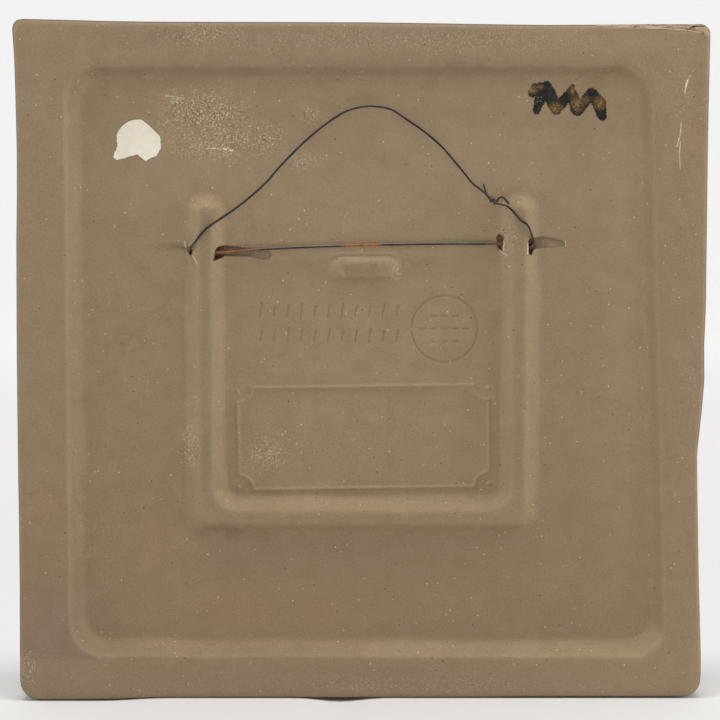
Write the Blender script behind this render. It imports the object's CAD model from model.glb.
"""A square stoneware wall plaque, seen from the back, with the iron wire that it hangs by.

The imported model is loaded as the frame. Each of its three pieces gives way to a finer one of the same form.
Lengths in the functions are in millimetres, and heights are from the slab's middle, as in the part's source.
The back faces -Y with its rim on the wall plane y = 0. set_down() turns a finished mesh to metres.
"""

import math

import bmesh
import bpy
import numpy as np
from mathutils import Matrix, Vector


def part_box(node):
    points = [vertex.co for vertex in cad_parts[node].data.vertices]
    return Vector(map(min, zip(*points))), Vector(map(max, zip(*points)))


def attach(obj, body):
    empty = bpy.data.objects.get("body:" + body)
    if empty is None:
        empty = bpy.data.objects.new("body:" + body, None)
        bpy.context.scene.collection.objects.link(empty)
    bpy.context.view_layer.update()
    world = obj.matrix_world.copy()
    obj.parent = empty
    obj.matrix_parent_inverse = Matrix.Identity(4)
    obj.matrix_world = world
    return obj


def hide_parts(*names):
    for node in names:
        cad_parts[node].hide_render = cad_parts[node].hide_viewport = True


bl_info = {
    "name": "Stoneware wall plaque",
    "version": (1, 0, 0),
    "blender": (4, 5, 0),
    "location": "View3D > Sidebar > Plaque",
    "description": "Builds the back of a press-moulded stoneware plaque with its hanging wire",
    "category": "Object",
}

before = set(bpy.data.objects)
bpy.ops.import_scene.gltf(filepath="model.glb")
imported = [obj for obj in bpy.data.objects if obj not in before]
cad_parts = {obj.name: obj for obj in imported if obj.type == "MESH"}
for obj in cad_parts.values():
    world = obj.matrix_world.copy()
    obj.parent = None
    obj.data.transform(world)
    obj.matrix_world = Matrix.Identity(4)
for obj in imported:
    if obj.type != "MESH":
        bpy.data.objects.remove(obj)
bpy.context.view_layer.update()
SLAB_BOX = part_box("stoneware_slab")

MM = 0.001
NAIL_HEIGHT = 111.0
SCREEN_GAMMA = 2.2

# Slab: half sizes and corners
HALF_WIDE = 150.8
HALF_HIGH = 149.1
CORNER_RADIUS = 4.5
CORNER_OPENING = 0.25
BACK_ROUNDING = 2.2

# The hand-trimmed edges, each as places along the edge and how far it stands in from the straight one there
RIGHT_TRIM = (
    (-149, 1.4), (-143, 0.1), (-130, 0.15), (-95, 1.45), (-60, 2.4), (-40, 2.85), (-24, 1.3), (-8, 0),
    (8, 0.3), (25, -0.25), (100, -0.3), (130, -0.6), (149, -0.9),
)
TOP_TRIM = (
    (-151, -0.75), (-130, -0.3), (-110, 0.25), (-90, 0.55), (0, 0.8), (30, 1.2), (60, 1.7), (80, 1.95),
    (100, 1.85), (125, 1.55), (151, 1.6),
)
LEFT_TRIM = (
    (-149, 1.3), (-143, 0), (-100, 0.35), (-75, 0.4), (-50, 0.25), (0, 0.25), (54, 0.65), (70, 1.1),
    (90, 1.35), (117, 1), (132, 0.7), (149, -0.3),
)
BOTTOM_TRIM = (
    (-151, 1.5), (-145, -0.8), (-130, -0.8), (-110, -0.5), (-92, 0.1), (-75, 0.25), (20, 0.25), (50, 0.37),
    (75, 0.6), (144, 0.6), (151, 2.4),
)
TRIM_SOFT = 5.0

# Recess: half sizes at the rim, and the wall's section as distance in against share of the depth
RECESS_HALF_WIDE = 130.2
RECESS_HALF_HIGH = 131.0
RECESS_RADIUS = 16.0
RECESS_SECTION = ((-4, 0), (0.6, 0.01), (1.7, 0.1), (6.0, 0.92), (7.6, 1.0), (14, 1.0))
RECESS_SOFT = 1.3
RECESS_LEAN = 0.034
RECESS_SHIFT_LEFT, RECESS_SHIFT_RIGHT = 1.0, 1.6

# Ridge: the U's middle line, its bends, and its section as distance out against depth
RIDGE_SPAN = 68.75
RIDGE_MIDDLE = 1.05
RIDGE_BAR = -68.0
RIDGE_LEG_END = 66.0
RIDGE_INNER_BEND = 13.5
RIDGE_OUTER_BEND = 2.2
# Below the wire the legs are broader on their outer sides
LEG_BROADER = 1.4
RIDGE_SECTION = ((0, 1.8), (2.3, 1.83), (3.7, 2.45), (7.0, 6.1), (9.2, 7.0), (12, 7.0))
RIDGE_SOFT = 0.9

# Raised grip and its slot: x, height, half width, half height, corner radius
GRIP = (1.75, 41.8, 16.5, 6.8, 6.4)
GRIP_SECTION = ((-1, 0), (0.0, 0.05), (1.0, 0.5), (3.0, 2.3), (4.2, 2.8), (9, 2.8))
GRIP_SOFT = 0.9
SLOT = (-0.2, 40.2, 8.2, 2.3, 2.2)
SLOT_SECTION = ((-0.8, 0), (0.0, 0.2), (0.9, 0.85), (1.6, 0.95), (3, 0.95))
SLOT_SOFT = 0.5

# Darker clay between the slot and the grip's lower edge: x, height, half width, half height, strength
GRIP_SHADE = (0.5, 36.6, 13, 2.4, 0.06)

# Beaded panel: x, height, half width, half height
PANEL = (1.3, -33.4, 55.35, 22.5)
PANEL_SCOOP = 6.5
PANEL_TURN = 0.0136
BEAD_HALF = 1.05
BEAD_RISE = 0.7
DOT_RADIUS, DOT_RISE, DOT_INSET = 1.25, 0.7, 1.2

# Pressed strokes, ring and dashes
STROKE_DEEP = 0.45
STROKE_HALF = 0.6
STROKE_LEFT, STROKE_RIGHT, STROKE_COUNT = -44.0, 16.0, 11
STROKE_LEVELS = (22.5, 11.5)
STROKE_HIGH = 7.6
STROKE_LEAN = 0.16
STROKE_LENGTHS = (1, 0.7, 0.85)
RING_X, RING_Z, RING_RADIUS = 37.0, 14.6, 14.6
DASH_COUNT, DASH_LONG, DASH_GAP, DASH_ROW = 5, 3.6, 4.8, 5.6

# Wire holes, bored from the right: x, depth, height and radius where each leaves and where it enters the leg
BORES = (
    ((-75.6, 5.9, 49.2, 1.1), (-61.0, 5.3, 49.0, 2.2)),
    ((60.6, 7.2, 52.1, 0.9), (75.2, 5.3, 51.6, 1.6)),
)

# Chipped mouths of the holes and the drill's grooves, each as its outline and its floor's x, depth and dirt
MOUTHS = (
    (((-64.4, 44.7), (-62.0, 45.6), (-59.4, 46.6), (-56.3, 46.4), (-48.4, 46.3), (-44.9, 45.2), (-41.9, 44.8),
      (-39.2, 45.8), (-38.8, 47.6), (-40.5, 48.9), (-46.2, 49.8), (-56.3, 51.0), (-60.2, 51.3), (-62.2, 50.8),
      (-63.3, 49.6), (-63.9, 47.1)),
     ((-63, 8.8, 0.9), (-60, 8.5, 0.6), (-50, 7.8, 0.4), (-44, 7.5, 0.25), (-38, 7.4, 0.12))),
    (((73.4, 53.8), (73.9, 54.3), (75.9, 54.6), (80.3, 55.3), (84.4, 54.5), (88.4, 53.5), (89.9, 52.2),
      (89.7, 50.9), (85.6, 50.4), (80.8, 50.1), (75.8, 49.6), (74.8, 47.5), (73.8, 47.5), (73.4, 49.0)),
     ((74, 7.9, 0.7), (76.2, 7.8, 0.45), (77.5, 7.7, 0.25), (90, 7.4, 0.14))),
    (((59.6, 55.1), (60.4, 56.2), (61.5, 56.1), (62.7, 55.4), (62.8, 53.6), (62.2, 53.1), (62.2, 49.2),
      (60.8, 49.6), (59.8, 50.7)),
     ((59, 7.6, 0.7), (63, 8.0, 0.75))),
    (((-75.2, 50.3), (-74.4, 50.5), (-73.8, 49.8), (-73.7, 47.6), (-74.4, 47.1), (-75.1, 48.1)),
     ((-76, 7.6, 0.8), (-73.5, 7.9, 0.9))),
)

# Dirt that thickens towards the hole on the left leg's outer side: both ends, half width, strength
DIRT_STREAK = ((-98, 50.6), (-75.5, 50.2), 2.4, 0.5)

# Faint grooves beside the holes, deeper towards their second end, and patches where the legs' tops are rough
FAINT_GROOVES = ((30.4, 52.9, 58.0, 52.4), (-95.3, 51.6, -78.0, 51.2), (-84, 50.2, -76, 49.6))
GROOVE_DEEP, GROOVE_HALF = 0.35, 1.6
CHIPPED_TOPS = ((64.5, 54, 6, 10, 1.0), (-72.5, 53, 5, 10, 1.0))

# How uneven the worked clay is along the recess's edge, the ridge's line, the rim, the legs' rough tops, the
# floors of the holes' mouths and the trimmed edge, and its slow swells as their size, order and height
EDGE_UNEVEN, RIDGE_UNEVEN, RIM_UNEVEN = 0.4, 0.25, 0.12
TOPS_UNEVEN, FLOOR_UNEVEN, TRIM_UNEVEN = 0.14, 0.12, 0.15
SWELLS = ((75, 1, 0.16), (24, 4, 0.07), (8, 6, 0.03))

# Torn upper right corner: its lower edge as x and height, the step and the slope
TORN_EDGE = (
    (98, 148), (104.7, 146.5), (122.2, 145.7), (130.9, 145.3), (139.7, 144.7), (148.4, 143.2), (152.8, 142.1),
)
TORN_STEP, TORN_SLOPE = 0.8, 0.546

# Front mouldings as inset against depth, measured from the front face
FRONT_SECTION = (
    (0.0, 12.0), (0.0, 8.0), (0.25, 4.6), (1.0, 2.9), (2.2, 1.5), (3.8, 0.55), (6.0, 0.0), (13.0, 0.0),
    (19.2, 0.0), (20.6, 0.2), (23.0, 1.3), (25.4, 2.4), (27.0, 2.6), (43.0, 2.6), (58.0, 2.6), (59.4, 2.5),
    (61.4, 1.2), (63.0, 0.9), (67.5, 0.85), (72.0, 0.9), (74.0, 1.1), (76.4, 1.75), (78.0, 1.8), (96.0, 1.3),
    (112.0, 1.0), (130.0, 1.0), (147.0, 1.0),
)

# Felt-pen zigzag as tapering dabs: x, height and half width at each end
INK_DABS = (
    ((75.0, 117.8, 1.8), (76.2, 119.9, 1.9)),
    ((76.4, 119.9, 1.7), (81.2, 120.7, 2.1)),
    ((81.1, 121.4, 1.4), (82.4, 117.3, 2.7)),
    ((79.3, 117.5, 2.8), (78.0, 114.3, 2.1)),
    ((78.0, 114.3, 2.1), (76.8, 110.0, 1.3)),
    ((82.2, 117.3, 2.8), (85.2, 110.9, 2.3)),
    ((85.2, 110.9, 2.3), (89.5, 115.4, 2.1)),
    ((89.5, 115.4, 2.1), (92.5, 120.7, 0.8)),
    ((92.2, 117.3, 2.2), (94.6, 110.9, 2.8)),
    ((94.6, 110.9, 2.8), (97.5, 113.8, 2.2)),
    ((97.5, 113.8, 2.2), (100.8, 117.7, 2.2)),
    ((100.8, 117.7, 2.0), (104.1, 113.2, 2.9)),
    ((104.1, 113.2, 2.9), (105.4, 107.7, 1.8)),
)

# Soft patches as x, height, half width, half height, strength: where the ink is worn and where it is thick
INK_WORN = (
    (74.8, 119.2, 2.6, 2.2, 1.0), (84.9, 111.3, 3.4, 2.6, 1.0), (94.6, 113.4, 3.4, 4.2, 1.0),
    (92.4, 118.9, 1.8, 2.4, 1.0), (104.3, 113.6, 3.0, 3.6, 0.95), (98.4, 115.0, 2.2, 2.2, 0.7),
    (78, 120.3, 3, 1.4, 0.6),
)
INK_THICK = ((105.5, 107.8, 2.4, 2.2, 1.0), (79.5, 117.5, 3.0, 3.0, 0.5), (88.3, 113.9, 1.6, 1.6, 0.5))

# Patches of scuffs, smudges and redder clay on the slab
SCUFFS = (
    (-66, 108, 22, 14, 1.0), (-60, 95, 26, 8, 0.9), (-78, 114, 12, 6, 0.8), (-42, 98, 12, 9, 0.8),
    (-22, 108, 6, 5, 0.8), (-26, 88, 9, 6, 0.6), (-86, 104, 4, 5, 0.7), (-75, -38, 5, 12, 0.7),
    (-41, -41, 12, 10, 0.55), (140, 118, 6, 22, 0.2), (-68, 143, 22, 6, 0.5), (30, 141, 120, 7, 0.28),
    (146, -8, 5, 26, 0.2), (64, 55, 6, 9, 0.45), (-73, 52, 5, 9, 0.45), (-146, -135, 4, 10, 0.7),
    (20, -143, 120, 5, 0.2), (15.8, 39, 2.4, 4.4, 0.7),
)
SMUDGES = (
    (-103.3, 7.7, 9, 7, 0.55), (-82.7, 142.9, 10, 4, 0.35), (-60, -75, 14, 5, 0.3), (45, 131, 16, 3, 0.3),
    (-48, 75, 6, 22, 0.15), (60, 20, 5, 30, 0.12),
)
REDDER = (
    (-140, -75, 20, 60, 1.0), (-45, -112, 90, 24, 0.9), (-95, -80, 34, 40, 0.7), (60, -95, 50, 30, 0.6),
    (143, 105, 10, 55, 0.6), (-60, 60, 30, 40, 0.25), (90, -30, 20, 30, 0.3), (10, -66, 100, 9, 0.5),
)
GREYER = (
    (-140, -125, 24, 34, 1.0), (0, -142, 170, 9, 0.6), (0, 141, 170, 9, 0.5), (143, 0, 8, 150, 0.2),
    (-30, 127, 110, 6, 0.8),
)

# How much paler than its mean the clay is, by height: in the recess, on the rim's left and on the rest of it
FIELD_PALING = ((-125, -0.025), (-87, -0.01), (-25, 0.03), (55, 0.05), (100, 0.08), (120, 0.09))
LEFT_PALING = ((-149, -0.06), (-110, -0.06), (-60, -0.02), (0, 0.0), (100, 0.02))
RIM_PALING = ((-149, -0.03), (-125, 0.005), (149, 0.02))

# How much paler the field's right end is, and paler patches on the right of the upper and lower rim and on
# the grip's upper part
RIGHT_FIELD_PALING = 0.05
PALER_PATCHES = ((125, 143, 80, 12, 0.035), (130, -140, 80, 20, 0.04), (2, 46.5, 15, 3, 0.02))

# How much darker the recess's upper and right walls and the legs' tops and feet are, and how much paler the
# ridge's flanks are. The right leg's dark band lies a little to the left of its middle.
TOP_WALL_DARKER, RIGHT_WALL_DARKER = 0.045, 0.045
FLANK_PALER, LEG_TOP_DARKER, LEG_FOOT_DARKER = 0.005, 0.045, 0.03
LEG_TOP_SHIFT = 0.8

# Pale scratches and chips: both ends, half width, strength
SCRATCHES = (
    ((73.1, 52.6), (73.0, 47.8), 0.12, 0.85), ((62.7, 53.2), (62.6, 49.4), 0.2, 0.6),
    ((60.9, 49.3), (64.0, 46.9), 0.15, 0.5), ((-77.1, 53.1), (-76.6, 50.7), 0.2, 0.5),
    ((-73.4, 47.0), (-71.2, 43.5), 0.2, 0.5), ((-85.1, 116.5), (-81.5, 116.3), 0.15, 0.6),
    ((-80.0, 115.6), (-77.8, 115.8), 0.15, 0.6), ((-82.6, 114.3), (-79.9, 114.0), 0.15, 0.5),
    ((-66.6, 93.7), (-60.5, 93.6), 0.1, 0.6), ((-59.6, 93.5), (-58.6, 93.3), 0.35, 1.0),
    ((-56.8, 92.9), (-55.9, 92.7), 0.3, 1.0), ((144.2, 127.4), (141.8, 123.9), 0.12, 0.8),
    ((141.8, 123.9), (140.9, 120.3), 0.3, 1.0), ((140.9, 120.3), (140.5, 117.4), 0.15, 0.8),
    ((139.1, 105.1), (138.8, 99.9), 0.12, 0.9), ((138.8, 99.9), (137.3, 94.6), 0.12, 0.9),
    ((138.9, 96.9), (138.5, 91.5), 0.12, 0.8), ((138.5, 91.5), (138.9, 85.0), 0.1, 0.6),
    ((77.35, 115.9), (77.45, 115.9), 0.1, 0.8), ((78.85, 115.9), (78.95, 115.9), 0.1, 0.8),
    ((77.15, 114.1), (77.25, 114.1), 0.1, 0.8), ((78.65, 114.3), (78.75, 114.3), 0.1, 0.8),
    ((89.8, 53.2), (90.0, 51.2), 0.15, 0.6),
)

# Rust stains in the left groove, on its upper edge and along the wire's run: both ends, half width, strength
RUST_LINES = (
    ((-62.8, 48.2), (-50.0, 48.9), 0.8, 1.0), ((-60.7, 50.9), (-26.5, 52.2), 0.4, 0.6),
    ((61.0, 50.0), (61.3, 55.6), 0.9, 0.7), ((-60, 49.8), (34, 52), 1, 0.2),
)

# The wire's middle line, out of the left hole, over the bow, into the right hole and back between the legs,
# its loose end's twist, how many points it has in each millimetre, and its rust as x from, x to and strength
WIRE_ROUTE = (
    (-70, 5.7, 49.1), (-73.4, 5.5, 49), (-74.5, 4.6, 49.4), (-74.3, 3.2, 50.3), (-73.5, 2.2, 51.5),
    (-72.1, 1.4, 53.2), (-69.9, 0.95, 56), (-67.3, 0.95, 58.8), (-64.2, 1, 61.2), (-58.7, 1.2, 64.8),
    (-52.5, 1.6, 69.2), (-46.6, 2, 74), (-40, 2.3, 80.2), (-35.3, 2.4, 85.7), (-22, 2.5, 98.8),
    (-9.3, 2.5, 108.3), (-3.3, 2.5, 111), (3.3, 2.5, 112.2), (8.7, 2.5, 111.8), (13.6, 2.5, 110.6),
    (20.2, 2.4, 106.3), (26.3, 2.3, 102.2), (34.6, 2.2, 95.3), (41.1, 2.1, 88), (45.7, 2, 82.5),
    (48.7, 1.9, 78.8), (52.9, 1.9, 75.5), (54.8, 1.8, 73.9), (56.4, 1.8, 71.9), (58.6, 1.8, 70.3),
    (60.8, 1.7, 69.7), (63.5, 1.2, 69), (65.6, 0.95, 67.4), (67.8, 0.95, 64.9), (70, 0.95, 62.5),
    (72.2, 0.95, 61.1), (73.5, 1.1, 59.4), (74.3, 1.5, 57.4), (75, 2.4, 55.4), (75.5, 3.9, 53),
    (74.3, 5.1, 51.7), (70, 5.8, 51.8), (64, 6.55, 51.9), (61, 6.75, 52), (58, 6.1, 52.1),
    (52.3, 5.6, 52.1), (41.3, 5.3, 52.2), (2.8, 5.3, 51.6), (-33, 5.3, 50.3), (-46.2, 5.4, 49.5),
    (-54.9, 5.4, 48.7), (-61.5, 5.5, 48.3),
)
TAIL_START = ((53.6, 2.6, 78.4), (54.2, 2.8, 76.4), (54.9, 2.9, 74.4))
TAIL_FINISH = ((60, 2.7, 71.8), (60.9, 2.7, 72.6), (62.1, 2.5, 72.5), (63.4, 2.2, 71.3), (64.8, 1.6, 69.6))
TWIST_FROM, TWIST_TO = (55.9, 1.8, 72.4), (59.3, 1.75, 70.2)
TWIST_RADIUS, TWIST_TURNS = 1.1, 2
LOOP_FINENESS, TWIST_FINENESS = 1.6, 5
RUSTY_RUN = ((-64, -55, 1.0), (-57, -44, 0.5), (-8, 9, 1.0), (55, 63, 0.4))

# Torn sticker: its middle, its round edge, the straighter part of that, which faces up and right, and the
# points of its torn edge, relative to the middle
STICKER_X, STICKER_Z, STICKER_RADIUS = -96.9, 96.4, 9.9
STICKER_ARC = (2.85, 0.25)
STRAIGHTER_FACES, STRAIGHTER_OUT, STRAIGHTENED = 0.826, 8.2, 0.85
STICKER_TORN = (
    (9.6, 0.6), (9.75, -2.4), (7.9, -5.8), (3, -8.2), (-0.6, -5.2), (-9.4, -7.8), (-11.2, -6.4), (-9.2, -1.8),
)

# How finely the sticker's round and torn edges are drawn, its pale edge's width, and how it lies on the field
ARC_STEPS, TEAR_STEPS, TEAR_JAG = 48, 6, 0.14
PALE_EDGE, STICKER_GAP, STICKER_THICK = 0.45, 0.03, 0.2

# Mesh of the back: its widest gap, and its lines beside the recess's edge and the ridge's middle line
GRID_STEP = 2.9
WALL_LINES = (-1.2, -0.5, 0, 0.3, 0.75, 1.4, 2.2, 3.2, 4.4, 5.8, 7.2, 8.6, 10.2)
RIDGE_LINES = (0.7, 2.0, 2.9, 3.8, 4.8, 5.8, 6.8, 7.8, 8.9, 10.2)

# How deep from the back's rim the marks of the back reach
BACK_MARKS_TO = 12

# Studio paper: its level, and how it dips under the slab's left corner and beside it, in metres
PAPER_LEVEL = (-148.85 - NAIL_HEIGHT) * MM
CORNER_DIP = 0.00125
BOW_DIP, BOW_X, BOW_HALF = 0.0016, -0.009, 0.02
DIP_FROM, DIP_TO = -0.21, 0.03

# Studio paper's half width, front edge and where it turns up, half the width of the part near the slab, the
# turn's radius and the wall's height, in metres
PAPER_HALF, PAPER_FRONT, PAPER_TURN = 4.0, -3.0, 2.0
PAPER_NEAR, TURN_RADIUS, WALL_HIGH = 1.0, 0.9, 3.0

# Soft lights as name, place, size and share of the right one's power, and what they and the camera point at
SOFTBOXES = (
    ("right_softbox", (1.58, -0.24, -0.05), (0.3, 1.2), 1),
    ("left_softbox", (-1.58, -0.24, -0.05), (0.3, 1.2), 0.65),
    ("top_softbox", (0.0, -0.24, 1.48), (1.2, 0.3), 1),
)
LIT_MIDDLE = (0, 0, -0.11)
CAMERA_AIM = (-0.0002, 0, -0.1094)


# Small helpers

def linear(hex_colour):
    """A colour as linear red, green, blue and alpha, from its sRGB hex value."""
    parts = [int(hex_colour[i:i + 2], 16) / 255 for i in (0, 2, 4)]
    return [p / 12.92 if p <= 0.04045 else ((p + 0.055) / 1.055) ** 2.4 for p in parts] + [1.0]


def add_node(tree, kind, sockets=None, out=0, **settings):
    """Adds a node to a material and gives one of its outputs.

    Each of the sockets' values is a number, a colour, or the output that the socket is linked to.
    """
    node = tree.nodes.new(kind)
    for name, value in settings.items():
        setattr(node, name, value)
    for key, value in (sockets or {}).items():
        if isinstance(value, bpy.types.NodeSocket):
            tree.links.new(value, node.inputs[key])
        else:
            node.inputs[key].default_value = value
    return node.outputs[out] if node.outputs else None


def new_material(name):
    """An empty material of that name, and its node tree."""
    material = bpy.data.materials.new(name)
    material.use_nodes = True
    material.node_tree.nodes.clear()
    return material, material.node_tree


def per_metre(millimetres):
    """A texture's scale for features of that size on Object coordinates."""
    return 1000 / millimetres


def coordinates(data):
    """The places of a mesh's vertices as an array, in its own units."""
    places = np.empty(len(data.vertices) * 3)
    data.vertices.foreach_get("co", places)
    return places.reshape(-1, 3)


def set_down(mesh):
    """Turns a bmesh in millimetres, with heights from the slab's middle, to metres in the frame."""
    bmesh.ops.translate(mesh, verts=mesh.verts, vec=(0, 0, -NAIL_HEIGHT))
    bmesh.ops.scale(mesh, verts=mesh.verts, vec=(MM, MM, MM))


def drawn_heights(places):
    """x, y and height from the slab's middle in millimetres, of places in the frame."""
    x, y, z = (places / MM).T
    return x, y, z + NAIL_HEIGHT


def in_scene(name, data):
    """Adds an object with this data to the scene."""
    obj = bpy.data.objects.new(name, data)
    bpy.context.scene.collection.objects.link(obj)
    return obj


def mesh_object(name, mesh):
    """Turns a bmesh into an object in the scene."""
    data = bpy.data.meshes.new(name)
    mesh.to_mesh(data)
    mesh.free()
    return in_scene(name, data)


def faced_out(mesh):
    """Points all faces of a bmesh outwards and shades them smoothly."""
    bmesh.ops.recalc_face_normals(mesh, faces=mesh.faces)
    for face in mesh.faces:
        face.smooth = True


def finished_data(obj):
    """A new mesh of an object as its modifiers or its curve make it."""
    bpy.context.view_layer.update()
    return bpy.data.meshes.new_from_object(obj.evaluated_get(bpy.context.evaluated_depsgraph_get()))


def new_object(name, mesh, material, node):
    """Makes a bmesh the object that stands for a node of the frame."""
    obj = mesh_object(name, mesh)
    obj.data.materials.append(material)
    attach(obj, "root")
    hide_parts(node)
    return obj


def write_attribute(data, name, values):
    """Stores one number for each vertex under a name that a material reads."""
    attribute = data.attributes.new(name, "FLOAT", "POINT")
    attribute.data.foreach_set("value", np.asarray(values, np.float32))


def smooth_step(value):
    """0 up to 0, 1 from 1, and an even turn between."""
    t = np.clip(value, 0, 1)
    return t * t * (3 - 2 * t)


def fading(away, reach):
    """1 up to 0, 0 from the reach, and an even turn between."""
    return 1 - smooth_step(away / reach)


def waves(x, z, size, seed):
    """Slow unevenness between about -1 and 1, of humps about that size across."""
    total = 0
    for turn in range(5):
        angle = seed * 1.7 + turn * 2.39996
        pitch = 2 * math.pi / (size * (0.8 + 0.27 * turn))
        along = x * math.cos(angle) + z * math.sin(angle)
        total = total + np.sin(along * pitch + seed * 4.1 + turn * 1.9)
    return total / 3


# The slab's form

def edge_wander(x, z):
    """How far the hand-trimmed edge stands in from the straight one in x and in z, beside each place."""
    right, left = (np.interp(z, *softened(trim, TRIM_SOFT)) for trim in (RIGHT_TRIM, LEFT_TRIM))
    top, bottom = (np.interp(x, *softened(trim, TRIM_SOFT)) for trim in (TOP_TRIM, BOTTOM_TRIM))
    return np.where(x > 0, right, left), np.where(z > 0, top, bottom)


def wandered(x, z):
    """Places moved so that the straight edge becomes the hand-trimmed one."""
    in_x, in_z = edge_wander(x, z)
    return x - in_x * (x / HALF_WIDE) ** 3, z - in_z * (z / HALF_HIGH) ** 3


def corner_radius(inset):
    """The outline's corner radius at an inset."""
    return min(CORNER_RADIUS + inset * CORNER_OPENING, HALF_HIGH - inset)


def core_size(inset):
    """Half sizes of the rectangle that the outline's corners turn about, at an inset."""
    radius = corner_radius(inset)
    return np.array([HALF_WIDE - inset - radius, HALF_HIGH - inset - radius])


def recess_shift(x, z):
    """How far the recess's walls stand to the right of where they would be in a straight recess."""
    near = smooth_step((np.abs(x) - 95) / 25) * smooth_step((HALF_WIDE - 2 - np.abs(x)) / 15)
    return near * np.where(x > 0, RECESS_SHIFT_RIGHT - RECESS_LEAN * z, RECESS_SHIFT_LEFT)


def recess_inset(x, z):
    """How far inside the rim's edge a place is, which is negative on the rim."""
    shift = np.where(x > 0, RECESS_SHIFT_RIGHT - RECESS_LEAN * z, RECESS_SHIFT_LEFT)
    across, up = np.abs(x - shift), np.abs(z)
    straight = np.minimum(RECESS_HALF_WIDE - across, RECESS_HALF_HIGH - up)
    from_x = across - (RECESS_HALF_WIDE - RECESS_RADIUS)
    from_z = up - (RECESS_HALF_HIGH - RECESS_RADIUS)
    half = from_x + from_z + RECESS_RADIUS
    inner = half ** 2 - (from_x ** 2 + from_z ** 2 - RECESS_RADIUS ** 2)
    opened = -half + np.sqrt(np.maximum(inner, 0))
    in_corner = (from_x + opened > 0) & (from_z + opened > 0)
    return np.where(in_corner, 2 * opened, straight)


def u_distance(x, z, bend):
    """Signed distance from a U-shaped line with that bend radius, positive outside the U."""
    across = np.abs(x - RIDGE_MIDDLE) - (RIDGE_SPAN - bend)
    down = -(z - RIDGE_BAR - bend)
    outside = np.hypot(np.maximum(across, 0), np.maximum(down, 0))
    return outside + np.minimum(np.maximum(across, down), 0) - bend


def ridge_distance(x, z):
    """How far out from the ridge's middle line a place is, less how much broader the leg is there."""
    broader = LEG_BROADER * smooth_step((z - RIDGE_BAR) / 25) * fading(z - 34, 9)
    outside = u_distance(x, z, RIDGE_OUTER_BEND)
    outside = outside - broader * smooth_step((outside - 2) / 7)
    beside = np.maximum(outside, -u_distance(x, z, RIDGE_INNER_BEND))
    leg_x = RIDGE_MIDDLE + np.sign(x - RIDGE_MIDDLE) * RIDGE_SPAN
    beyond = np.hypot(x - leg_x, z - RIDGE_LEG_END)
    return np.where(z > RIDGE_LEG_END, beyond, beside)


def softened(section, reach):
    """A section's points as two long arrays, with its bends rounded over about that reach."""
    places, values = np.array(section, float).T
    fine = np.arange(places[0], places[-1], 0.1)
    level = np.interp(fine, places, values)
    width = max(1, round(reach / 0.1))
    padded = np.pad(level, width, mode="edge")
    kernel = np.hanning(2 * width + 3)[1:-1]
    return fine, np.convolve(padded, kernel / kernel.sum(), mode="same")[width:-width]


def inside_rounded(x, z, box):
    """How far inside a rounded rectangle a place is."""
    middle_x, middle_z, half_x, half_z, radius = box
    from_x = np.abs(x - middle_x) - (half_x - radius)
    from_z = np.abs(z - middle_z) - (half_z - radius)
    outside = np.hypot(np.maximum(from_x, 0), np.maximum(from_z, 0))
    return radius - outside - np.minimum(np.maximum(from_x, from_z), 0)


def panel_place(x, z):
    """A place in the panel's own slightly turned directions, from its middle."""
    cosine, sine = math.cos(PANEL_TURN), math.sin(PANEL_TURN)
    from_x, from_z = x - PANEL[0], z - PANEL[1]
    return from_x * cosine + from_z * sine, from_z * cosine - from_x * sine


def bead_distance(x, z):
    """How far from the panel's beaded outline a place is."""
    across, up = panel_place(x, z)
    from_x, from_z = np.abs(across) - PANEL[2], np.abs(up) - PANEL[3]
    side = np.hypot(np.maximum(from_x, 0), np.maximum(from_z, 0)) + np.minimum(np.maximum(from_x, from_z), 0)
    return np.abs(np.maximum(side, PANEL_SCOOP - np.hypot(from_x, from_z)))


def dot_distance(x, z):
    """How far from the middle of the nearest of the panel's dots a place is."""
    across, up = panel_place(x, z)
    return np.hypot(np.abs(across) - PANEL[2], np.abs(up) - PANEL[3] + DOT_INSET)


def capsule(x, z, start, end):
    """Distance of places from a straight line between two points."""
    start, end = np.array(start, float), np.array(end, float)
    way = end - start
    along = np.clip(((x - start[0]) * way[0] + (z - start[1]) * way[1]) / (way @ way), 0, 1)
    return np.hypot(x - start[0] - along * way[0], z - start[1] - along * way[1]), along


def outline_distance(x, z, outline):
    """Signed distance from a closed outline of straight lines, negative inside."""
    nearest = np.full(np.shape(x), 1e3)
    inside = np.zeros(np.shape(x), bool)
    for start, end in zip(outline, (*outline[1:], outline[0])):
        nearest = np.minimum(nearest, capsule(x, z, start, end)[0])
        crossing = (start[1] > z) != (end[1] > z)
        rise = (end[1] - start[1]) or 1.0
        inside ^= crossing & (x < start[0] + (z - start[1]) * (end[0] - start[0]) / rise)
    return np.where(inside, -nearest, nearest)


def stroke_lines():
    """The pressed strokes' and dashes' middle lines."""
    lines = []
    pitch = (STROKE_RIGHT - STROKE_LEFT) / (STROKE_COUNT - 1)
    for row, level in enumerate(STROKE_LEVELS):
        for i in range(STROKE_COUNT):
            half = STROKE_HIGH * STROKE_LENGTHS[(i + row) % len(STROKE_LENGTHS)] / 2 - STROKE_HALF
            x = STROKE_LEFT + i * pitch
            lean, up = half * math.sin(STROKE_LEAN), half * math.cos(STROKE_LEAN)
            lines.append(((x - lean, level - up), (x + lean, level + up)))
    for row in (-1, 0, 1):
        dashes = DASH_COUNT - abs(row) * 2
        for i in range(dashes):
            x = RING_X + (i - (dashes - 1) / 2) * DASH_GAP
            z = RING_Z + row * DASH_ROW
            half = DASH_LONG / 2 - STROKE_HALF
            lines.append(((x - half, z), (x + half, z)))
    return lines


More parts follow.
